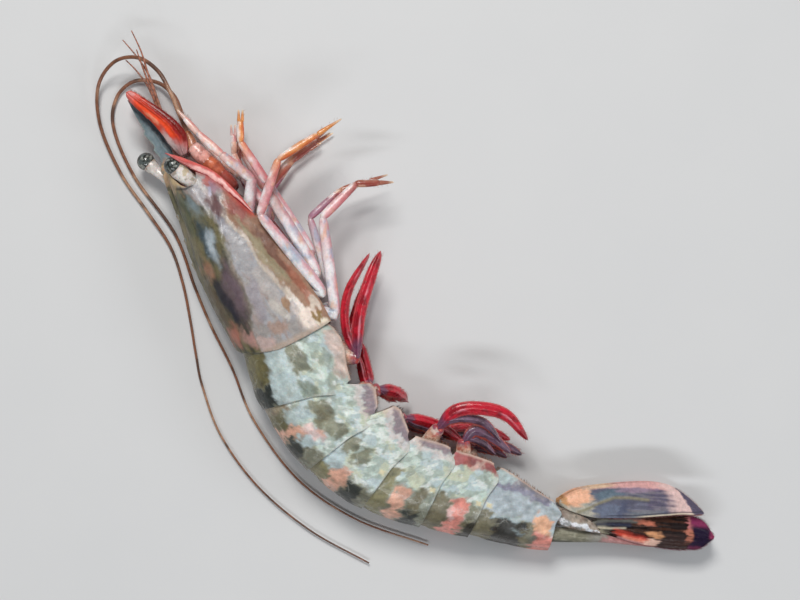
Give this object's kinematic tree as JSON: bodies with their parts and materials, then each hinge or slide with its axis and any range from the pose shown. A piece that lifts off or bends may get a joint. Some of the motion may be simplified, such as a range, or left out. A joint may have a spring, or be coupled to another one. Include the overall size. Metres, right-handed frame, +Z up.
{
  "type": "raw tiger prawn",
  "caption": "Whole raw tiger prawn lying on its side, head and shell on, with a banded grey-green tail, spiked rostrum, long feelers, walking legs, red swimmerets and a tail fan.",
  "frame": {"origin": "centre of the bounding box's bottom, on the surface that the prawn lies on", "axes": "+X from the head to the tail fan, +Y towards the belly side, +Z up out of the right flank"},
  "size_m": [0.2047, 0.0914, 0.023],
  "materials": {
    "head_shell": "wet, smooth translucent shell, olive brown and grey mauve with red edges",
    "tail_shell": "wet grey green shell with dark, olive and salmon pink bands",
    "tail_fan": "wet dark purple grey blades with orange and pink patches",
    "antennal_scale": "wet red orange blade, blue grey inner edge",
    "limb": "wet pink and mauve legs with cream joints and orange red tips",
    "swimmeret": "wet crimson blades with pale pink streaks",
    "feeler": "thin ringed red brown lashes",
    "eye": "glossy black ball"
  },
  "bodies": {
    "root": {"antenna_base_left": "limb", "antenna_base_right": "limb", "antenna_left": "feeler", "antenna_right": "feeler", "antennal_scale_left": "antennal_scale", "antennal_scale_right": "antennal_scale", "antennule_left": "feeler", "antennule_right": "feeler", "carapace": "head_shell", "eye_left": "eye", "eye_right": "eye", "leg_1_left": "limb", "leg_1_right": "limb", "leg_2_left": "limb", "leg_2_right": "limb", "leg_3_left": "limb", "leg_3_right": "limb", "leg_4_left": "limb", "leg_4_right": "limb", "leg_5_left": "limb", "leg_5_right": "limb", "maxilliped_left": "limb", "maxilliped_right": "limb", "swimmeret_1_left": "swimmeret", "swimmeret_1_right": "swimmeret", "swimmeret_2_left": "swimmeret", "swimmeret_2_right": "swimmeret", "swimmeret_3_left": "swimmeret", "swimmeret_3_right": "swimmeret", "swimmeret_4_left": "swimmeret", "swimmeret_4_right": "swimmeret", "swimmeret_5_left": "swimmeret", "swimmeret_5_right": "swimmeret", "tail_segment_1": "tail_shell", "tail_segment_2": "tail_shell", "tail_segment_3": "tail_shell", "tail_segment_4": "tail_shell", "tail_segment_5": "tail_shell", "tail_segment_6": "tail_shell", "telson": "tail_fan", "uropod_inner_left": "tail_fan", "uropod_inner_right": "tail_fan", "uropod_outer_left": "tail_fan", "uropod_outer_right": "tail_fan", "uropod_stem_left": "tail_fan", "uropod_stem_right": "tail_fan"}
  },
  "joints": []
}
